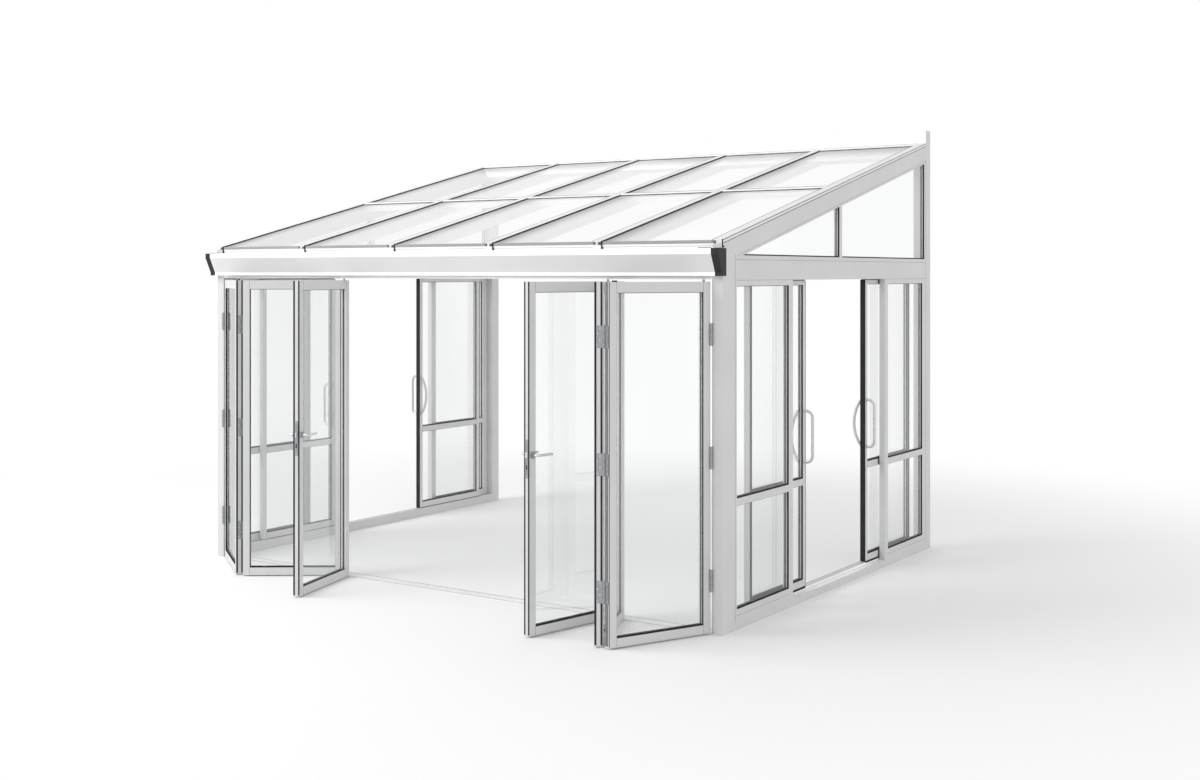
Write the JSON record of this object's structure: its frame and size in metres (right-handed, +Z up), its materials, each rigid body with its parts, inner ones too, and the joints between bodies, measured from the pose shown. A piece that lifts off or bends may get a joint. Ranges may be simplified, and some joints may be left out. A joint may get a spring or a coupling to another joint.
{
  "type": "lean-to glass conservatory",
  "caption": "Lean-to glazed garden room with a sloping glass roof, sliding side doors, folding front doors and a front gutter.",
  "frame": {"origin": "on the ground under the middle of the front threshold, at mid width", "axes": "+X to the right along the front, +Y from the front towards the house wall, +Z up"},
  "size_m": [4.45, 4.0508, 3.2808],
  "materials": {
    "grey_powder_coat": "satin",
    "white_powder_coat": "satin",
    "mill_aluminium": "satin",
    "dark_plastic": "matte",
    "black_seal": "matte",
    "clear_glass": "polished",
    "satin_steel": "satin",
    "hinge_steel": "satin",
    "polished_chrome": "polished"
  },
  "bodies": {
    "frame": {"eaves_bars": "white_powder_coat", "front_beam": "white_powder_coat", "front_threshold": "mill_aluminium", "glazing_caps": "white_powder_coat", "gutter": "white_powder_coat", "gutter_end_caps": "dark_plastic", "left_back_fixed_frame": "grey_powder_coat", "left_back_post": "grey_powder_coat", "left_end_rafter": "grey_powder_coat", "left_folding_glass": "clear_glass", "left_folding_leaf_1": "grey_powder_coat", "left_folding_leaf_2": "grey_powder_coat", "left_folding_leaf_3": "grey_powder_coat", "left_front_fixed_frame": "grey_powder_coat", "left_front_post": "grey_powder_coat", "left_gable_frame": "grey_powder_coat", "left_leaf_hinges": "hinge_steel", "left_lock_furniture": "hinge_steel", "left_side_glass": "clear_glass", "left_sill": "grey_powder_coat", "left_transom": "grey_powder_coat", "middle_rafters": "white_powder_coat", "purlins": "white_powder_coat", "ridge_bars": "white_powder_coat", "right_back_fixed_frame": "grey_powder_coat", "right_back_post": "grey_powder_coat", "right_end_rafter": "grey_powder_coat", "right_folding_glass": "clear_glass", "right_folding_leaf_1": "grey_powder_coat", "right_folding_leaf_2": "grey_powder_coat", "right_folding_leaf_3": "grey_powder_coat", "right_front_fixed_frame": "grey_powder_coat", "right_front_post": "grey_powder_coat", "right_gable_frame": "grey_powder_coat", "right_leaf_hinges": "hinge_steel", "right_lock_furniture": "hinge_steel", "right_side_glass": "clear_glass", "right_sill": "grey_powder_coat", "right_transom": "grey_powder_coat", "roof_glass": "clear_glass", "wall_plate": "white_powder_coat"},
    "right_front_slider": {"right_front_slider_frame": "grey_powder_coat", "right_front_slider_glass": "clear_glass", "right_front_slider_handles": "satin_steel", "right_front_slider_seal": "black_seal"},
    "right_back_slider": {"right_back_slider_frame": "grey_powder_coat", "right_back_slider_glass": "clear_glass", "right_back_slider_handles": "satin_steel", "right_back_slider_seal": "black_seal"},
    "left_front_slider": {"left_front_slider_frame": "grey_powder_coat", "left_front_slider_glass": "clear_glass", "left_front_slider_handles": "satin_steel", "left_front_slider_seal": "black_seal"},
    "left_back_slider": {"left_back_slider_frame": "grey_powder_coat", "left_back_slider_glass": "clear_glass", "left_back_slider_handles": "satin_steel", "left_back_slider_seal": "black_seal"},
    "right_lever": {"right_lever_handle": "polished_chrome"},
    "left_lever": {"left_lever_handle": "polished_chrome"}
  },
  "joints": [
    {"name": "right_front_slide", "type": "slide", "parent": "frame", "child": "right_front_slider", "axis": [0, 1, 0], "range_m": [-0.2, 0.465]},
    {"name": "right_back_slide", "type": "slide", "parent": "frame", "child": "right_back_slider", "axis": [0, 1, 0], "range_m": [-0.505, 0.19]},
    {"name": "left_front_slide", "type": "slide", "parent": "frame", "child": "left_front_slider", "axis": [0, 1, 0], "range_m": [-0.154, 0.511]},
    {"name": "left_back_slide", "type": "slide", "parent": "frame", "child": "left_back_slider", "axis": [0, 1, 0], "range_m": [-0.537, 0.158]},
    {"name": "right_lever_turn", "type": "hinge", "parent": "frame", "child": "right_lever", "pos_m": [1.25814, -0.70646, 1.084], "axis": [-0.9785, 0.2062, 0], "range_deg": [0, 45], "stiffness_Nm_per_rad": 3, "springref_deg": -20.05},
    {"name": "left_lever_turn", "type": "hinge", "parent": "frame", "child": "left_lever", "pos_m": [-0.6646, -0.71104, 1.084], "axis": [-0.9603, -0.279, 0], "range_deg": [0, 45], "stiffness_Nm_per_rad": 3, "springref_deg": -20.05}
  ]
}
